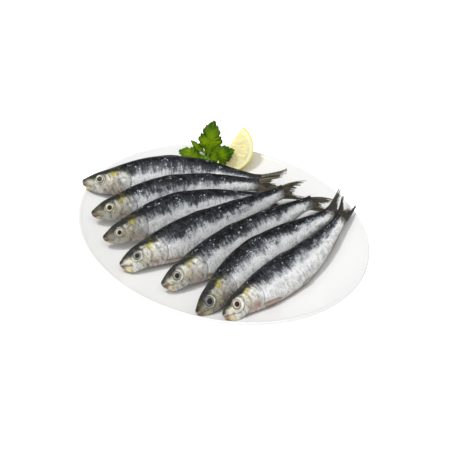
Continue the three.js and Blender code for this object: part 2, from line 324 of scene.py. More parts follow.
def contrast(tree, body, factor, value, low, dark, high, light):
    """Multiplies a colour by dark greys where value is low and light ones where high."""
    stops = colour_ramp(tree, value, [(low, dark), (high, light)])
    return blend(tree, factor, body, stops, "MULTIPLY")


def spread(tree, value, low, high):
    """Smooth step of a value, from 0 at low to 1 at high."""
    made = node(tree, "ShaderNodeMapRange", {"Value": value, "From Min": low, "From Max": high},
                interpolation_type="SMOOTHSTEP")
    return made.outputs["Result"]


def from_to(tree, value, low, high, at_low, at_high):
    """Maps low..high to at_low..at_high in a straight line."""
    return node(tree, "ShaderNodeMapRange", {
        "Value": value, "From Min": low, "From Max": high,
        "To Min": at_low, "To Max": at_high}).outputs[0]


def field(tree, uv, scale, offset, detail=3.0):
    """Noise over the skin: scale is bumps along and round the body."""
    placed = node(tree, "ShaderNodeMapping", {"Vector": uv, "Scale": (*scale, 1),
                                              "Location": (offset, offset, 0)})
    return node(tree, "ShaderNodeTexNoise", {"Vector": placed.outputs[0], "Scale": 1.0,
                                             "Detail": detail}, noise_dimensions="2D").outputs[0]


NOISE_MEAN = 0.445  # what the noise fields of skin_level add on average


def skin_level(tree, height, fields):
    """Place between belly and back, made ragged by noise fields."""
    level = height
    for part, amount in fields:
        level = arithmetic(tree, "ADD", level, arithmetic(tree, "MULTIPLY", part, amount))
    return arithmetic(tree, "SUBTRACT", level, NOISE_MEAN)


def scale_glints(tree, uv, height, scales, offset):
    """How strongly single scales shine: small, in clusters, high on the flank."""
    chosen = node(tree, "ShaderNodeSeparateXYZ", {0: scales.outputs["Color"]}).outputs[0]
    small = from_to(tree, scales.outputs["Distance"], 0.20, 0.50, 0.95, 0.0)
    cluster = field(tree, uv, (20, 7), offset + 17)
    return product(tree, spread(tree, chosen, 0.55, 0.90), small,
                   spread(tree, cluster, 0.58, 0.68), spread(tree, height, 0.46, 0.60))


def skin_material(index, fish):
    """Silver flank with a painted highlight band and painted shade low down, blue-black back with
    a ragged edge, painted head.
    """
    material, tree, shader = new_material(f"sardine_skin_{index}", Coat_Weight=0.05,
                                          Coat_Roughness=0.15, Specular_IOR_Level=0.13)
    uv = node(tree, "ShaderNodeUVMap", uv_map="skin").outputs[0]
    height = node(tree, "ShaderNodeSeparateXYZ", {0: uv}).outputs[1]
    offset = 7.3 * index  # another stretch of the noise for each fish
    streak = field(tree, uv, (85, 5), offset)
    fine = field(tree, uv, (210, 46), offset + 3)
    broad = field(tree, uv, (9, 4), offset + 5)
    mottle = field(tree, uv, (30, 8), offset + 9, 4.0)
    level = skin_level(tree, height, ((streak, 0.19), (fine, 0.24), (broad, 0.26), (mottle, 0.21)))
    # Painted shade: the lower flank (low, side) is darkened as if shaded by the fish alongside,
    # less the higher pale is.
    low = srgb(126, 124, 120) * (1 - fish["pale"]) + srgb(196, 192, 184) * fish["pale"]
    side = srgb(176, 178, 178) * (1 - fish["pale"]) + srgb(220, 221, 219) * fish["pale"]
    # The white stops round 0.45 are partly the flank's own silver and partly a painted highlight
    # band.
    body = colour_ramp(tree, level, [
        (0.00, low), (0.22, side), (0.36, srgb(240, 241, 240)),
        (0.45, srgb(255, 255, 254)), (0.53, srgb(240, 242, 243)), (0.59, srgb(166, 169, 173)),
        (0.66, srgb(56, 59, 65)), (0.75, srgb(4, 4, 7)),
    ])
    # Streaks across the flank: rows of scales, their lighter stripes partly painted reflection.
    body = contrast(tree, body, 0.45, streak, 0.34, (0.70, 0.70, 0.71), 0.58, (1.12, 1.12, 1.11))
    body = contrast(tree, body, 0.36, mottle, 0.34, (0.60, 0.60, 0.62), 0.54, (1.15, 1.15, 1.14))
    sheen = product(tree, spread(tree, fine, 0.50, 0.68), 0.5, spread(tree, mottle, 0.42, 0.62),
                    spread(tree, level, 0.60, 0.72))
    body = blend(tree, sheen, body, (*srgb(112, 116, 122), 1))
    body = contrast(tree, body, 0.40, fine, 0.34, (0.6, 0.6, 0.6), 0.60, (1.2, 1.2, 1.2))

    placed = node(tree, "ShaderNodeMapping", {"Vector": uv, "Scale": (100, 30, 1),
                                              "Location": (offset, 0, 0)}).outputs[0]
    scales = node(tree, "ShaderNodeTexVoronoi", {"Vector": placed, "Scale": 1.0},
                  voronoi_dimensions="2D")
    glint = scale_glints(tree, uv, height, scales, offset)
    body = blend(tree, glint, body, (*srgb(214, 224, 232), 1))

    painted = node(tree, "ShaderNodeAttribute", attribute_name="paint")
    flecks = field(tree, uv, (330, 60), offset + 13, 4.0)
    head = contrast(tree, painted.outputs["Color"], 0.8, flecks,
                    0.36, (0.45, 0.45, 0.46), 0.60, (1.35, 1.35, 1.33))
    body = blend(tree, painted.outputs["Alpha"], body, head)
    tree.links.new(body, shader.inputs["Base Color"])
    tree.links.new(from_to(tree, level, 0.50, 0.72, 0.32, 0.02), shader.inputs["Metallic"])
    tree.links.new(from_to(tree, fine, 0.3, 0.7, 0.24, 0.50), shader.inputs["Roughness"])
    bump = node(tree, "ShaderNodeBump", {"Height": scales.outputs["Distance"],
                                         "Strength": 0.35, "Distance": 0.6 * MM})
    second = node(tree, "ShaderNodeBump", {"Height": fine, "Strength": 0.35,
                                           "Distance": 0.8 * MM, "Normal": bump.outputs[0]})
    tree.links.new(second.outputs[0], shader.inputs["Normal"])
    return material


def painted_material(name, bumps=None, **settings):
    """A material with its colours in the mesh; bumps: fineness and strength."""
    material, tree, shader = new_material(name, **settings)
    painted = node(tree, "ShaderNodeAttribute", attribute_name="paint")
    tree.links.new(painted.outputs["Color"], shader.inputs["Base Color"])
    if bumps:
        scale, strength = bumps
        place = node(tree, "ShaderNodeTexCoord").outputs["Object"]
        noise = node(tree, "ShaderNodeTexNoise", {"Vector": place, "Scale": scale,
                                                  "Detail": 2.0})
        bump = node(tree, "ShaderNodeBump", {"Height": noise.outputs[0], "Strength": strength,
                                             "Distance": 0.6 * MM})
        tree.links.new(bump.outputs[0], shader.inputs["Normal"])
    return material


# ------------------------------------------------------------------ sardines
class Sardine:
    """The spine and sections of one fish, in metres in the row frame."""

    def __init__(self, fish):
        self.scale = fish["length"] / SARDINE_LENGTH * MM
        t = np.linspace(0, TURN_KNOTS[3], 401)
        heading = np.radians(through(TURN_KNOTS, fish["turn"], t))
        middle = (heading[1:] + heading[:-1]) / 2
        step = np.diff(t) * BODY_LENGTH * self.scale
        x = fish["nose"][0] * MM + np.concatenate([[0], np.cumsum(np.cos(middle) * step)])
        y = fish["nose"][1] * MM + np.concatenate([[0], np.cumsum(np.sin(middle) * step)])
        z = through(HEIGHT_KNOTS, fish["height"], t) * MM
        self.t = t
        self.at = np.stack([x, y, z], 1)
        slope = np.gradient(z, t) / (BODY_LENGTH * self.scale)
        self.along = unit(np.stack([np.cos(heading), np.sin(heading), slope], 1))
        side = unit(np.cross([0, 0, 1], self.along))
        rise = np.cross(self.along, side)
        lean = np.radians(np.interp(t, (0, t[-1]), fish["lean"]))[:, None]
        self.back = rise * np.cos(lean) + side * np.sin(lean)
        self.flank = np.cross(self.along, self.back)
        self.shift = np.zeros(3)

    def read(self, values, t):
        """A place or direction along the spine, at t."""
        return np.stack([np.interp(t, self.t, values[:, k]) for k in range(3)], -1)

    def point(self, t, high, wide):
        """high towards the back and wide towards the upper flank, in standard mm."""
        t, high, wide = np.broadcast_arrays(*(np.asarray(v, float) for v in (t, high, wide)))
        return (self.read(self.at, t) + self.shift
                + self.read(self.back, t) * high[..., None] * self.scale
                + self.read(self.flank, t) * wide[..., None] * self.scale)


def section(t, chin=0.0):
    """Back height, belly depth and half-width at t, in standard mm."""
    snout = np.sqrt(np.clip(1 - (1 - np.clip(t / SNOUT, 0, 1)) ** 2, 0, 1)) ** 0.9
    at = np.maximum(t, SNOUT * 0.6)  # the rounding alone shapes the very tip
    up = smooth(at, BODY[:, 0], BODY[:, 1]) * BODY_DEPTH * snout
    down = smooth(at, BODY[:, 0], BODY[:, 2]) * BODY_DEPTH * snout
    half = smooth(at, BODY[:, 0], BODY[:, 3]) * BODY_WIDTH * snout
    return up, down * (1 + chin * bell(t - 0.04, 0.04)), half


def skin_point(t, angle, chin=0.0):
    """Height and width on the skin at an angle from the back, in standard mm."""
    up, down, half = section(t, chin)
    high = (up - down) / 2 + (up + down) / 2 * np.cos(angle)
    full = np.sign(np.sin(angle)) * np.abs(np.sin(angle)) ** 0.92
    wide = half * full * (1 + 0.15 * np.cos(angle))
    return high, wide


def angle_at(t, high):
    """The angle from the back at which the skin is at a height."""
    up, down, _ = section(t)
    return np.arccos(np.clip((high - (up - down) / 2) / ((up + down) / 2), -0.999, 0.999))


def from_centre(x, y, centre, squash=1.0):
    """Distance from a centre, with heights stretched by squash."""
    return np.hypot(x - centre[0], (y - centre[1]) * squash)


def relief(x, y, fish):
    """How far the head's bones stand out, in mm, at a place on its side."""
    gill = from_centre(x, y, GILL_CENTRE, 1.05)
    cheek = from_centre(x, y, CHEEK_CENTRE)
    eye = from_centre(x, y, fish["at"])
    eye_radius = fish["eye"]
    out = 0.8 * (1 - ramp(gill, GILL_RADIUS - 0.7, GILL_RADIUS + 0.4)) * ramp(x, 14, 24)
    out -= 0.35 * bell(gill - GILL_RADIUS - 0.9, 0.9) * (x > 14)
    out += 0.4 * (1 - ramp(cheek, CHEEK_RADIUS - 0.8, CHEEK_RADIUS + 0.5)) * ramp(x, 8, 14)
    striae = np.sin(np.arctan2(y - 6, x - 26) * 30) * ramp(-y, -2, 3)
    inside = ramp(cheek, CHEEK_RADIUS, CHEEK_RADIUS + 2) * (1 - ramp(gill, 14, GILL_RADIUS))
    out += 0.06 * striae * inside
    out += 0.5 * (grain(x * 0.5, y * 0.5, 12) - 0.5) * ramp(x, 12, 18)
    out -= 0.5 * bell(eye - eye_radius * 1.1, 0.7)
    out += 0.35 * bell(eye - eye_radius * 1.32, 0.7)
    out -= 0.35 * bell(mouth_line(x, y), 0.6)
    jaw = np.abs(y + 5.4 + 0.30 * x) + ramp(x, 12, 15) * 9
    out -= 0.18 * bell(jaw, 0.7)
    return out


def mouth_line(x, y):
    """Distance from the mouth, which runs down and back from the tip of the snout."""
    return np.abs(y + 1.6 + 0.35 * x) + ramp(x, 8.0, 10.0) * 9


def head_paint(x, y, high, fish, seed):
    """Colour and cover of the head and the belly line, at places on the side."""
    gill = from_centre(x, y, GILL_CENTRE, 1.05)
    cheek = from_centre(x, y, CHEEK_CENTRE)
    eye = from_centre(x, y, fish["at"])
    noise = grain(x * 0.45, y * 0.45, seed)
    fleck = grain(x * 1.1, y * 1.1, seed + 1)
    facet = grain(x * 0.8 + y * 0.3, y * 0.25, seed + 2)
    speck = grain(x * 2.3 + y, y * 2.1, seed + 3)
    colours = np.ones((*x.shape, 3)) * srgb(214, 214, 208)
    bright = 0.36 + 1.05 * facet + 0.65 * (noise - 0.5) + 0.45 * (fleck - 0.5)
    bright += 0.25 * bell(y + 2, 3.5)
    colours *= (np.clip(bright, 0.12, 1.2) * fish["head"])[..., None]

    def over(mask, colour):
        colours[:] = paint_over(colours, mask, colour)

    gold = bell(x - 22, 8) * bell(y + 3, 7)
    over(0.7 * gold * noise, srgb(188, 164, 92))
    pink = bell(x - 29, 8) * bell(y + 10, 4)
    over((0.35 + 0.4 * fish["red"]) * pink, srgb(178, 138, 122))
    steel = bell(cheek - CHEEK_RADIUS - 0.5, 1.1) * ramp(x, 16, 20)
    over(0.35 * steel, srgb(96, 102, 110))
    edge = fish["ring"]
    ring = ramp(eye, fish["eye"] * 0.9, fish["eye"]) * (1 - ramp(eye, edge - 0.5, edge + 0.2))
    over(0.95 * ring, srgb(236, 235, 226) * (0.7 + 0.4 * noise[..., None]))
    halo = bell(eye - edge - 1.7, 1.0) * ramp(noise + 0.4 * fleck, 0.55, 0.95)
    over(fish.get("gold", 0.15) * halo, srgb(158, 146, 34))
    line = bell(eye - edge - 0.4, 0.55) * ramp(fleck, 0.1, 0.5)
    over(0.8 * line, srgb(52, 54, 52))
    brow = y - (3.4 + 0.10 * x) + 3.0 * (noise - 0.5) + 1.6 * (fleck - 0.5)
    brow = np.where(x < 13, y - 0.14 * x - 0.9 + 1.2 * (fleck - 0.5), brow)
    dark = srgb(40, 42, 40) * (0.4 + 1.1 * fleck[..., None])
    over(ramp(brow, -1.6, 1.4), dark)
    patch = bell(x - 26.5, 5.0) * bell(y - 4.6 - 0.2 * (x - 26), 3.0)
    patch = ramp(patch * (0.3 + 0.6 * fleck + 0.7 * speck), 0.30, 0.95)
    over(0.8 * patch, srgb(182, 168, 40) * (0.6 + 0.6 * facet[..., None]))
    arc = bell(gill - GILL_RADIUS + 3.5, 1.6) * ramp(y, 3.5, 7) * ramp(x, 22, 26)
    over(0.7 * ramp(arc * (0.3 + 1.2 * fleck), 0.2, 0.9),
         srgb(78, 74, 34) * (0.4 + fleck[..., None]))
    snout = 1 - ramp(x + 0.3 * np.abs(y), 7, 13)
    over(fish["snout"] * snout * ramp(y + 0.35 * x, -2.0, 0.5),
         srgb(84, 80, 46) * (0.1 + 1.3 * fleck[..., None] ** 1.5))
    jaw_colour = srgb(244, 228, 180) * fish["head"] * (0.55 + 0.6 * noise[..., None])
    over(0.95 * snout * ramp(-y - 0.35 * x, 1.4, 2.2), jaw_colour)
    lip = bell(x - 7 + 0.6 * y, 3.0) * bell(y + 0.6, 1.8)
    over((0.95 - fish["snout"]) * lip * 1.4, srgb(246, 238, 206))
    tip = 1 - ramp(x + 1.6 * (noise - 0.5) + 0.25 * np.abs(y + 2), 2.4, 5.2)
    over(0.85 * tip * ramp(-y, -0.6, 1.4), srgb(126, 84, 38))
    over(0.8 * tip * ramp(y, -0.6, 0.6), srgb(34, 30, 22))
    over(0.85 * bell(mouth_line(x, y), 0.55), srgb(58, 46, 30))
    # Painted shade in the gill slit along the rear edge of the gill cover.
    gill_slit_shade = bell(gill - GILL_RADIUS - 0.5, 0.6) * ramp(x, 22, 28)
    gill_slit_shade *= 1 - ramp(high, 8.5, 10.5)
    cover = 1 - ramp(gill + 1.5 * (noise - 0.5), GILL_RADIUS - 1.0, GILL_RADIUS + 0.6)
    cover = np.maximum(cover, 1 - ramp(x, 16, 20))
    cover *= 1 - ramp(x + 1.0 * (y - 6) * (y > 6), 32, 42)
    over(0.8 * gill_slit_shade, srgb(80, 78, 70))
    cover = np.maximum(0.93 * cover, 0.6 * gill_slit_shade)
    return np.concatenate([colours, cover[..., None]], -1)


def body_paint(x, y, t, angle, fish, seed):
    """Adds blood along the belly, spots along the flank and the tail's dark root."""
    high, _ = skin_point(t, angle)
    colours = head_paint(x, y, high, fish, seed)
    up, down, _ = section(t)
    belly = 0.7 * ramp((-y) / np.maximum(down, 1), 0.90, 0.99)
    belly *= ramp(x, 36, 44) * (1 - ramp(x, 82, 104))
    mask = belly * fish["red"] * (0.5 + 0.8 * grain(x * 0.4, y * 0, seed + 5))
    rng = np.random.default_rng(seed + 9)
    spots = np.zeros_like(x)
    for k in range(11):
        sx = 46 + 8.2 * k + rng.uniform(-2, 2)
        sy = np.interp(sx, (46, 130), (6.2, 2.2)) + rng.uniform(-0.8, 0.8)
        size = rng.uniform(0.8, 1.5)
        spots = np.maximum(spots, bell(x - sx, size) * bell(y - sy, size))
    spots *= fish["spots"] * (x > HEAD_END)
    rgb = colours[..., :3]
    alpha = colours[..., 3]
    root = ramp(x + 5 * (grain(x * 0.8, y * 1.2, seed + 7) - 0.5), 144, 152)
    rgb = np.where((root > 0.01)[..., None], srgb(44, 40, 34), rgb)
    alpha = np.maximum(alpha, 0.85 * root)
    rgb = paint_over(rgb, mask * (1 - alpha), srgb(150, 92, 66))
    rgb = paint_over(rgb, spots * (1 - alpha) * (1 - mask), srgb(40, 42, 46))
    rgb = np.where(((mask < 0.02) & (spots > 0.05))[..., None], srgb(40, 42, 46), rgb)
    rgb = np.where(((mask > 0.02) & (alpha < 0.5))[..., None], srgb(150, 104, 80), rgb)
    alpha = np.maximum(alpha, np.maximum(mask * 0.8, spots * 0.85))
    return np.concatenate([rgb, alpha[..., None]], -1)


def build_body(sardine, fish, index):
    """The skin from snout to wrist, finest over the head."""
    t = np.concatenate([SNOUT * np.linspace(0.02, 1, 12) ** 1.6,
                        np.linspace(SNOUT, 0.30, 104)[1:], np.linspace(0.30, 1.0, 140)[1:]])
    sides = 104
    angle = np.linspace(0, 2 * np.pi, sides, endpoint=False)
    tt, aa = np.meshgrid(t, angle, indexing="ij")
    high, wide = skin_point(tt, aa, fish.get("chin", 0))
    x = tt * BODY_LENGTH
    stand = relief(x, high, fish) * np.abs(np.sin(aa)) ** 0.6
    stand *= (1 - ramp(x, HEAD_END, HEAD_END + 4)) * ramp(x, 1, 7)
    scale_rows = 0.05 * np.sin(x * 2.3) * np.sin(aa * 26)
    wide = wide + np.sign(np.sin(aa)) * (stand + scale_rows * ramp(x, HEAD_END, HEAD_END + 6))
    points = sardine.point(tt, high, wide)
    colours = body_paint(x, high, tt, aa, fish, 40 + index)
    around = 1 - np.abs(aa / np.pi - 1)
    uv = np.stack([tt, 1 - around], -1)
    flat = points.reshape(-1, 3)
    nose = points[0].mean(0) - sardine.along[0] * 0.2 * MM
    tail = points[-1].mean(0) + sardine.read(sardine.along, 1.0) * 0.8 * MM
    flat = np.concatenate([flat, [nose, tail]])
    colour = np.concatenate([colours.reshape(-1, 4), colours[0, :1], colours[-1, :1]])
    uvs = np.concatenate([uv.reshape(-1, 2), [(0, 0.5), (1, 0.5)]])
    faces = grid_faces(len(t), sides, closed=True)
    cap_ends(faces, sides, len(t), len(flat) - 2, len(flat) - 1)
    faces = [tuple(reversed(f)) for f in faces]
    return mesh_object(f"sardine_{index}_body", flat, faces, skin_material(index, fish),
                       colours=colour, uv=uvs)


def surface_frame(sardine, x, y, side):
    """Point on the flank at a place on its side, with the ways along, down and out."""
    t = x / BODY_LENGTH
    angle = angle_at(t, y) * side

    def at(dt, da):
        high, wide = skin_point(t + dt, angle + da)
        return sardine.point(t + dt, high, wide)

    p = at(0, 0)
    along = unit(at(0.01, 0) - at(-0.01, 0))
    down = unit(at(0, 0.05 * side) - at(0, -0.05 * side))
    out = unit(np.cross(along, down)) * side
    if np.dot(out, sardine.read(sardine.flank, t)) * side < 0:
        out = -out
    return p, along, down, out


def eye_colour(r, a, index, fish):
    """Pupil, iris and dark rim, from the middle of the eye outwards."""
    pupil = fish["pupil"]
    iris = srgb(*fish["iris"]) * (0.85 + 0.15 * math.sin(3 * a + index))
    warm = 0.6 * fish["red"] * max(0, math.sin(a + 0.5))
    iris = paint_over(iris, warm, srgb(184, 150, 124))
    c = paint_over(iris, bell(r - pupil, 0.06) * 0.5, srgb(96, 88, 70))
    c = paint_over(c, ramp(r, pupil + 0.03, pupil - 0.05), srgb(7, 8, 11))
    return paint_over(c, bell(r - 0.90, 0.075) * 0.95, srgb(26, 27, 26))


def build_eyes(sardine, fish, index, material):
    """A low dome in each socket, its edge turned in under the skin."""
    rings = np.concatenate([[0.0], np.linspace(0.06, 1, 26)])
    spokes = 44
    points, faces, colours = [], [], []
    for side in (1, -1):
        p, along, down, out = surface_frame(sardine, *fish["at"], side)
        radius = fish["eye"] * sardine.scale
        start = len(points)
        for r in rings:
            for k in range(spokes):
                a = 2 * np.pi * k / spokes
                dome = (0.55 + 0.9 * math.sqrt(max(0, 1 - (r * 0.98) ** 2))) * sardine.scale
                dome -= 1.7 * ramp(r, 0.95, 1.0) * sardine.scale
                points.append(p + radius * r * (along * math.cos(a) + down * math.sin(a))
                              + out * dome)
                colours.append((*eye_colour(r, a, index, fish), 1))
        faces += grid_faces(len(rings), spokes, closed=True, start=start)
    return mesh_object(f"sardine_{index}_eyes", points, faces, material, colours=colours)


def build_tail(sardine, fish, index, material):
    """A ragged fan of separate rays in two lobes over a short web."""
    rng = np.random.default_rng(500 + index)
    rays, steps = 23, 9
    web_rays, web_steps, web_reach = 9, 5, 0.74
    points, faces, colours = [], [], []
    reach = TAIL_LENGTH / BODY_LENGTH * fish.get("tail", 1.0) + 1 - TAIL_START
    fork = FORK_DEPTH / TAIL_LENGTH
    bend = fish.get("bend", 0)
    tint = fish.get("fin", 1.0)

    def fan(share, spread_share):
        """A ray's root, tip and length, from the lobe's outer edge (0) to the fork (1)."""
        tip = TAIL_SPREAD / 2 * spread_share * (1 - share) ** 0.85
        return WRIST_HALF * (1 - share), tip, 1 - fork * share ** 0.8

    for lobe, spread_share in zip((1, -1), fish.get("lobes", (1, 1))):
        for j in range(rays):
            share = j / (rays - 1)
            root, tip, length = fan(share, spread_share)
            length *= rng.uniform(0.82, 1.10)
            tip += rng.uniform(-0.9, 0.9)
            wave = rng.uniform(-0.9, 0.9)
            width = rng.uniform(0.28, 0.55)
            tone = rng.random()
            start = len(points)
            shade = tint * paint_over(srgb(24, 23, 21), tone ** 2, srgb(110, 98, 72))
            for s in range(steps):
                u = s / (steps - 1)
                middle = lobe * (root + (tip - root) * u ** 0.9) + bend * u * u
                t = TAIL_START + reach * u * length
                wide = width * (1 - 0.96 * u ** 2.2)
                bow = wave * u + 0.6 * math.sin(4 * share + index) * u
                light = paint_over(shade, 0.5 * u * u, srgb(122, 116, 98) * tint)
                # Painted shading: each ray is lighter down its middle and darker at its edges.
                for edge in (-1, 0, 1):
                    points.append(sardine.point(t, middle + wide * edge, bow + 0.2 * (edge == 0)))
                    colours.append((*(light * (1.15 if edge == 0 else 0.8)), 1))
            faces += grid_faces(steps, 3, start=start)
        start = len(points)
        for j in range(web_rays):
            share = j / (web_rays - 1)
            root, tip, length = fan(share, spread_share)
            for s in range(web_steps):
                u = s / (web_steps - 1)
                middle = lobe * (root + (tip - root) * web_reach * u) + bend * 0.55 * u * u
                t = TAIL_START + reach * u * web_reach * length
                points.append(sardine.point(t, middle, -0.15 + 0.2 * math.sin(9 * share)))
                shade = srgb(50, 47, 40) * tint * (1.3 if j % 2 else 0.8) * (0.8 + 0.5 * u)
                colours.append((*shade, 1))
        faces += grid_faces(web_rays, web_steps, start=start)
    obj = mesh_object(f"sardine_{index}_tail", points, faces, material, colours=colours)
    thicken(obj, TAIL_THICKNESS, 0)
    return obj


def build_fins(sardine, fish, index, material):
    """Pectoral, pelvic, dorsal and anal fins, lying folded against the body."""
    rng = np.random.default_rng(700 + index)
    points, faces, colours = [], [], []

    def sheet(rows):
        """Adds rows of points and colours as one surface."""
        start = len(points)
        for row in rows:
            for p, c in row:
                points.append(p)
                colours.append((*c, 1))
        faces.extend(grid_faces(len(rows), len(rows[0]), start=start))

    def flank_fin(x0, depth, length, width, side, shade):
        """A fin that starts x0 behind the nose, at a share of the belly's depth."""
        rows = []
        for i in range(11):
            u = i / 10
            row = []
            for j in range(9):
                v = j / 8 - 0.5
                x = x0 + length * u * (1 - 0.3 * abs(v))
                _, down, _ = section(x / BODY_LENGTH)
                breadth = width * (0.25 + 0.9 * math.sin(math.pi * (0.12 + 0.8 * u)) ** 0.8)
                y = -down * depth + breadth * v * (1 - 0.55 * u)
                p, _, _, out = surface_frame(sardine, x, y, side)
                lift = (0.25 + 0.35 * u + (0.16 if j % 2 else 0)) * sardine.scale
                tint = paint_over(shade, 0.75 * (1 - 2 * abs(v)), srgb(196, 184, 168))
                row.append((p + out * lift, tint * (0.75 + 0.5 * rng.random())))
            rows.append(row)
        sheet(rows)

    def ridge_fin(x0, x1, height, top, shade):
        """A low fin along the back (top) or the belly, from x0 to x1."""
        rows = []
        for i in range(19):
            u = i / 18
            row = []
            for j in range(4):
                w = j / 3
                x = x0 + (x1 - x0) * u + 5.5 * w
                up, down, _ = section(x / BODY_LENGTH)
                lift = height * w * math.sin(math.pi * min(1, u * 0.8 + 0.12))
                lift *= 0.8 if i % 2 else 1
                high = (up - 0.3 + lift) if top else -(down - 0.3 + lift)
                row.append((sardine.point(x / BODY_LENGTH, high, 0.25 * (1 if i % 2 else -1)),
                            shade * (0.7 + 0.6 * rng.random())))
            rows.append(row)
        sheet(rows)

    blood = fish["red"]
    pectoral = paint_over(srgb(120, 108, 92), blood, srgb(140, 100, 76))
    anal = paint_over(srgb(120, 114, 100), blood, srgb(150, 128, 102))
    for side in (1, -1):
        flank_fin(37, 0.86, 19, 3.6, side, pectoral)
        flank_fin(79, 0.93, 9, 2.4, side, srgb(150, 144, 132))
    ridge_fin(62, 80, 0.9, True, srgb(40, 42, 44))
    ridge_fin(112, 138, 1.2, False, anal)
    obj = mesh_object(f"sardine_{index}_fins", points, faces, material, colours=colours)
    thicken(obj, FIN_THICKNESS, 0)
    return obj


def build_sardine(index, fish, eye_material, fin_material):
    """One fish in four pieces, moved so that it lies as low as its CAD node."""
    name = f"sardine_{index}"
    sardine = Sardine(fish)
    body = build_body(sardine, fish, index)
    low = np.array([v.co for v in body.data.vertices]).min(0)
    shift = np.array(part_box(name)[0]) - low
    shift[:2] = np.clip(shift[:2], -2 * MM, 2 * MM)
    sardine.shift = shift
    body.data.transform(Matrix.Translation(Vector(shift)))
    for piece in (body, build_eyes(sardine, fish, index, eye_material),
                  build_tail(sardine, fish, index, fin_material),
                  build_fins(sardine, fish, index, fin_material)):
        mount(piece, [name])


# --------------------------------------------------------------------- plate
WALL = 4 * MM
WELL_HEIGHT = 5.5 * MM
RISE_INSET = 52 * MM
FOOT_INSET = 62 * MM
FOOT_WIDTH = 5 * MM
FOOT_ROUND = 0.6 * MM
RIM_ROUND = 1.5 * MM


def build_plate(material):
    """The plate's section, as inset from the edge and height, taken round the oval."""
    low, high = (np.array(c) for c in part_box("plate"))
    half = (high - low)[:2] / 2
    centre = ((high + low) / 2)[:2]
    top = high[2]

    def upper(inset):
        """Height of the plate's upper side."""
        return WELL_HEIGHT + (top - WELL_HEIGHT) * max(0, 1 - inset / RISE_INSET) ** 2

    under = WELL_HEIGHT - WALL
    inner = FOOT_INSET + FOOT_WIDTH
    flat = 1.4 * MM  # the foot stands on its middle only
    profile = [(inner + 20 * MM, under), (inner, under), (inner - FOOT_ROUND, FOOT_ROUND),
               (inner - flat, 0), (FOOT_INSET + flat, 0), (FOOT_INSET + FOOT_ROUND, FOOT_ROUND),
               (FOOT_INSET, under)]
    insets = np.linspace(RISE_INSET, 3 * MM, 26)
    for inset in insets:
        wall = WALL * (0.5 + 0.5 * ramp(inset, 2 * MM, 30 * MM))
        profile.append((inset, upper(inset) - wall))
    for a in np.radians(np.linspace(-80, 80, 11)):
        profile.append((RIM_ROUND * (1 - math.cos(a)), top - RIM_ROUND * (1 - math.sin(a))))
    profile += [(inset, upper(inset)) for inset in insets[::-1]]
    profile += [(RISE_INSET + d * MM, WELL_HEIGHT) for d in (4, 12, 25)]
    sides = 192
    angle = np.linspace(0, 2 * np.pi, sides, endpoint=False)
    rows = []
    for inset, z in profile:
        rows.append(np.stack([centre[0] + (half[0] - inset) * np.cos(angle),
                              centre[1] + (half[1] - inset) * np.sin(angle),
                              np.full(sides, z)], 1))
    points = np.concatenate(rows + [[(*centre, under)], [(*centre, WELL_HEIGHT)]])
    faces = grid_faces(len(profile), sides, closed=True)
    cap_ends(faces, sides, len(profile), len(points) - 2, len(points) - 1)
    mount(mesh_object("plate_glazed", points, faces, material), ["plate"])


# ------------------------------------------------------------------- garnish
# Level directions to the right and away, as seen from the camera
ACROSS = np.array([0.875, 0.483, 0])
AWAY = np.array([-0.483, 0.875, 0])
UP = np.array([0.0, 0.0, 1.0])
LEMON_RADIUS = 23 * MM
LEMON_ANGLE = 50
LEMON_TILT = math.radians(25)
LEMON_TURN = math.radians(55)
LEMON_CENTRE = np.array([-36, 77, 32]) * MM


def lemon_face_paint(r, a, seed):
    """Rind, pith and flesh with its membranes, over a cut face."""
    colours = np.ones((*r.shape, 3)) * srgb(255, 246, 176)
    vesicle = grain(r * 9, a * 9, seed)
    colours *= (0.86 + 0.22 * vesicle)[..., None]
    warm = grain(r * 3, a * 2.2, seed + 1)
    colours = paint_over(colours, 0.25 * warm, srgb(252, 232, 160))
    cut = np.abs((a / np.pi * 5) % 1 - 0.5)
    wall = np.exp(-((cut - 0.5) * a.mean() * r * 14) ** 2) * ramp(r, 0.05, 0.2)
    colours = paint_over(colours, 0.55 * wall, srgb(250, 246, 214))
    colours = paint_over(colours, ramp(r, 0.80, 0.87), srgb(255, 254, 218))
    colours = paint_over(colours, ramp(r, 0.92, 0.98), srgb(253, 236, 96))
    return colours


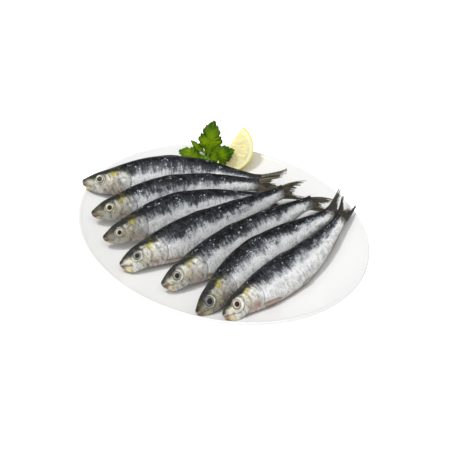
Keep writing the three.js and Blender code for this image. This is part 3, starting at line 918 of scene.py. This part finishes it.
def build_lemon(material):
    """Two cut half discs that meet at the wedge's edge, and the rind between them."""
    steep = UP * math.cos(LEMON_TILT) + AWAY * math.sin(LEMON_TILT)
    deep = AWAY * math.cos(LEMON_TILT) - UP * math.sin(LEMON_TILT)
    edge = ACROSS * math.cos(LEMON_TURN) + steep * math.sin(LEMON_TURN)
    out = ACROSS * math.sin(LEMON_TURN) - steep * math.cos(LEMON_TURN)
    points, faces, colours = [], [], []
    around = np.linspace(0, np.pi, 73)
    radii = np.linspace(0, 1, 41)
    for opening, flip in ((0, False), (LEMON_ANGLE, True)):
        turned = math.radians(opening)
        spread_to = out * math.cos(turned) + deep * math.sin(turned)
        rr, aa = np.meshgrid(radii, around, indexing="ij")
        face = (rr * np.cos(aa))[..., None] * edge + (rr * np.sin(aa))[..., None] * spread_to
        normal = np.cross(spread_to, edge) * (1 if flip else -1)
        sink = 0.02 * (1 - ramp(rr, 0.80, 0.86)) * (0.6 + grain(rr * 9, aa * 9, 11 + flip))
        sink *= ramp(rr * np.sin(aa), 0.0, 0.12)
        face = face * 0.995 - normal * sink[..., None]
        start = len(points)
        points += list((face * LEMON_RADIUS).reshape(-1, 3))
        paint = lemon_face_paint(rr, aa, 21 + flip)
        colours += [(*c, 1) for c in paint.reshape(-1, 3)]
        quads = grid_faces(len(radii), len(around), start=start)
        faces += quads if flip else [tuple(reversed(q)) for q in quads]
    start = len(points)
    opens = np.radians(np.linspace(0, LEMON_ANGLE, 25))
    oo, aa = np.meshgrid(opens, around, indexing="ij")
    bow = ramp(oo, 0, 0.05) * ramp(-oo, -opens[-1], -opens[-1] + 0.05)
    radius = 0.985 + 0.015 * bow
    outward = np.cos(oo)[..., None] * out + np.sin(oo)[..., None] * deep
    shell = ((np.cos(aa) * radius)[..., None] * edge
             + (np.sin(aa) * radius)[..., None] * outward)
    points += list((shell * LEMON_RADIUS).reshape(-1, 3))
    tone = grain(oo * 8, aa * 8, 31)
    rind = srgb(250, 222, 50) * (0.85 + 0.25 * tone[..., None])
    colours += [(*c, 1) for c in rind.reshape(-1, 3)]
    faces += grid_faces(len(opens), len(around), start=start)
    points = np.array(points) + LEMON_CENTRE
    points[:, 2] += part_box("lemon_wedge")[0][2] - points[:, 2].min()
    obj = mesh_object("lemon_wedge_cut", points, faces, material, colours=colours)
    mount(obj, ["lemon_wedge"])


# Right half of a lobed leaflet one unit long, from the base to the tip.
LOBES = np.array([
    (0.10, -0.02), (0.11, 0.13), (0.19, 0.22), (0.31, 0.24), (0.35, 0.30), (0.31, 0.35),
    (0.39, 0.41), (0.40, 0.49), (0.33, 0.51), (0.34, 0.59), (0.27, 0.60), (0.22, 0.57),
    (0.29, 0.67), (0.28, 0.76), (0.21, 0.76), (0.21, 0.85), (0.13, 0.86), (0.11, 0.94),
    (0.04, 0.99),
])
# The stalks meet at the knot; starts, tips and the stem are measured from it (mm)
KNOT = np.array([-54, 71, 17]) * MM
LEAVES = [
    dict(name="parsley_leaf_centre", start=(0, 1, 3), tip=(-4, 19, 30), width=0.86, curl=0.05),
    dict(name="parsley_leaf_left", start=(-3, -1, 1), tip=(-26, -7, 4), width=0.8, curl=0.1),
    dict(name="parsley_leaf_right", start=(3, 0, 1), tip=(26, 4, 18), width=0.9, curl=0.1),
    dict(name="parsley_leaf_spike", start=(-3, 1, 5), tip=(-18, 1.5, 14), width=0.45, curl=0.05),
]
STEM = np.array([(0, 0, 0.6), (-6, -3, -2), (-24, -14, -5)])
STEM_RADIUS = 1.05 * MM
STALK_RADIUS = 0.8 * MM
FACING = -0.72 * AWAY + 0.69 * UP  # the leaves' upper sides face this way


def leaf_outline(width, seed):
    """The lobed edge, once round, with rounded teeth."""
    half = LOBES * (width, 1)
    edge = np.concatenate([half, half[::-1] * (-1, 1)])
    edge = np.concatenate([edge, edge[:1]])
    steps = np.concatenate([[0], np.cumsum(np.hypot(*np.diff(edge, axis=0).T))])
    s = np.linspace(0, steps[-1], 181)[:-1]
    rounded = np.stack([np.interp(s, steps, edge[:, k]) for k in range(2)], 1)
    for _ in range(3):
        rounded = (np.roll(rounded, 1, 0) + rounded * 2 + np.roll(rounded, -1, 0)) / 4
    rng = np.random.default_rng(seed)
    return rounded * (1 + 0.02 * rng.normal(size=(len(rounded), 1)))


def build_leaf(leaf, index, material):
    """A lobed blade in rings from its middle to its edge, with ribs and crinkles."""
    base = KNOT + np.array(leaf["start"]) * MM
    tip = KNOT + np.array(leaf["tip"]) * MM
    along = tip - base
    length = np.linalg.norm(along)
    along = along / length
    side = unit(np.cross(along, FACING))
    normal = np.cross(side, along)
    edge = leaf_outline(leaf["width"], 60 + index)
    centre = np.array([0.0, 0.42])
    points, colours = [], []
    rings = np.linspace(0, 1, 11)
    for ring in rings:
        for p in edge:
            x, y = centre + (p - centre) * ring
            sag = leaf["curl"] * (4 * y * (1 - y) - 6 * x * x)
            rib = math.exp(-((x / 0.02) ** 2))
            branch = 0
            for k in range(5):
                start = 0.10 + 0.15 * k
                off = abs(y - start - abs(x) * 0.85) / 0.018
                branch = max(branch, math.exp(-off * off) * (abs(x) < 0.36))
            vein = max(rib, 0.8 * branch)
            crinkle = 0.02 * grain(x * 9 + 5, y * 9 + index, 70 + index)
            droop = 0.03 * ramp(ring, 0.8, 1.0) * abs(x)
            height = sag - 0.012 * vein + crinkle - droop
            points.append(base + length * (along * y + side * x + normal * height))
            tone = grain(x * 5 + 9, y * 5 + index, 80 + index)
            colour = srgb(36, 78, 0) * (1 - tone) + srgb(124, 152, 2) * tone
            colour = paint_over(colour, 0.7 * ramp(ring, 0.60, 1.0), srgb(16, 56, 0))
            colour = paint_over(colour, 0.30 * vein, srgb(112, 150, 30))
            colours.append((*colour, 1))
    faces = grid_faces(len(rings), len(edge), closed=True)
    obj = mesh_object(leaf["name"] + "_blade", points, faces, material, colours=colours)
    thicken(obj, LEAF_THICKNESS, -1)
    mount(obj, [leaf["name"]])


def tube(path, radius, points, faces, sides=14):
    """Adds a round stalk along a curve through three points."""
    t = np.linspace(0, 1, 25)
    line = np.stack([through((0, 0.5, 1), path[:, k], t) for k in range(3)], 1)
    tangent = unit(np.gradient(line, axis=0))
    side = unit(np.cross(tangent, UP + 0.1 * ACROSS))
    rise = np.cross(side, tangent)
    start = len(points)
    for k in range(len(t)):
        for a in np.linspace(0, 2 * np.pi, sides, endpoint=False):
            points.append(line[k] + radius * (side[k] * math.cos(a) + rise[k] * math.sin(a)))
    faces += grid_faces(len(t), sides, closed=True, start=start)
    faces.append(tuple(range(start, start + sides)))
    faces.append(tuple(reversed(range(len(points) - sides, len(points)))))


def build_stem(material):
    """The stem, and a stalk from the knot into each leaf."""
    points, faces = [], []
    path = KNOT + STEM * MM
    path[:, 2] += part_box("parsley_stem")[0][2] - (path[2, 2] - 1.1 * MM)
    tube(path, STEM_RADIUS, points, faces)
    for leaf in LEAVES:
        start = np.array(leaf["start"], float)
        reach = np.array(leaf["tip"], float) - start
        into = start + reach * 0.22
        route = KNOT + np.array([(0, 0, 0.4), start, into]) * MM
        tube(route, STALK_RADIUS, points, faces, 10)
    colours = np.ones((len(points), 4)) * (*srgb(104, 146, 44), 1)
    obj = mesh_object("parsley_stalk", points, faces, material, colours=colours)
    mount(obj, ["parsley_stem"])


# ------------------------------------------------------------ floor and light
def build_stage():
    """A pale floor, a soft sky that is brighter above, and two area lights."""
    floor_material, _, _ = new_material("floor", Base_Color=(0.95, 0.95, 0.95, 1),
                                        Roughness=0.6, Emission_Color=(1, 1, 1, 1),
                                        Emission_Strength=0.42)
    bpy.ops.mesh.primitive_plane_add(size=8, location=(0, 0, 0))
    floor = bpy.context.object
    floor.name = "floor"
    floor.data.materials.append(floor_material)
    world = bpy.data.worlds.new("studio")
    bpy.context.scene.world = world
    world.use_nodes = True
    tree = world.node_tree
    background = tree.nodes["Background"]
    background.inputs["Strength"].default_value = 1.0
    direction = node(tree, "ShaderNodeTexCoord").outputs["Generated"]
    up = node(tree, "ShaderNodeSeparateXYZ", {0: direction}).outputs[2]
    sky = colour_ramp(tree, up, [(0.0, (0.32, 0.32, 0.33)), (0.35, (0.37, 0.37, 0.38)),
                                 (0.75, (0.56, 0.56, 0.56)), (1.0, (0.72, 0.72, 0.72))])
    tree.links.new(sky, background.inputs["Color"])

    def area(name, azimuth, elevation, distance, size, energy):
        """A square light (W) at a distance, turned to the middle of the plate."""
        data = bpy.data.lights.new(name, "AREA")
        data.shape = "SQUARE"
        data.size = size
        data.energy = energy
        light = bpy.data.objects.new(name, data)
        bpy.context.collection.objects.link(light)
        way = direction_from(azimuth, elevation)
        light.location = way * distance
        light.rotation_euler = way.to_track_quat("Z", "Y").to_euler()

    area("key", CAMERA_AZIMUTH - 75, 68, 1.3, 0.2, 8.8)
    area("softbox", CAMERA_AZIMUTH + 5, 70, 1.2, 0.8, 4.0)


def build_camera():
    """The camera at the photograph's viewing angle."""
    data = bpy.data.cameras.new("camera")
    data.lens = LENS
    data.sensor_width = SENSOR
    camera = bpy.data.objects.new("camera", data)
    bpy.context.collection.objects.link(camera)
    back = direction_from(CAMERA_AZIMUTH, CAMERA_ELEVATION)
    camera.location = CAMERA_AIM + back * CAMERA_DISTANCE
    camera.rotation_euler = back.to_track_quat("Z", "Y").to_euler()
    bpy.context.scene.camera = camera


# --------------------------------------------------------------------- build
glaze, _, _ = new_material("glaze", Base_Color=(0.79, 0.79, 0.785, 1), Roughness=0.16,
                           Coat_Weight=0.4, Coat_Roughness=0.05)
build_plate(glaze)
eye_skin = painted_material("sardine_eye", Roughness=0.3, Coat_Weight=0.2, Coat_Roughness=0.04)
fin_skin = painted_material("sardine_fin", Roughness=0.35, Coat_Weight=0.3)
for number, one in enumerate(FISH, 1):
    build_sardine(number, one, eye_skin, fin_skin)
# The lemon glows faintly: painted light standing in for light shining through its flesh.
build_lemon(painted_material("lemon", bumps=(900, 0.25), Roughness=0.32, Coat_Weight=0.2,
                             Emission_Color=(1, 0.93, 0.55, 1), Emission_Strength=0.1))
leaf_skin = painted_material("parsley", bumps=(700, 0.2), Roughness=0.55, Specular_IOR_Level=0.1)
for number, one in enumerate(LEAVES):
    build_leaf(one, number, leaf_skin)
build_stem(leaf_skin)
build_stage()
build_camera()
scene = bpy.context.scene
scene.view_settings.view_transform = "Standard"
scene.view_settings.look = "None"
scene.view_settings.exposure = 0
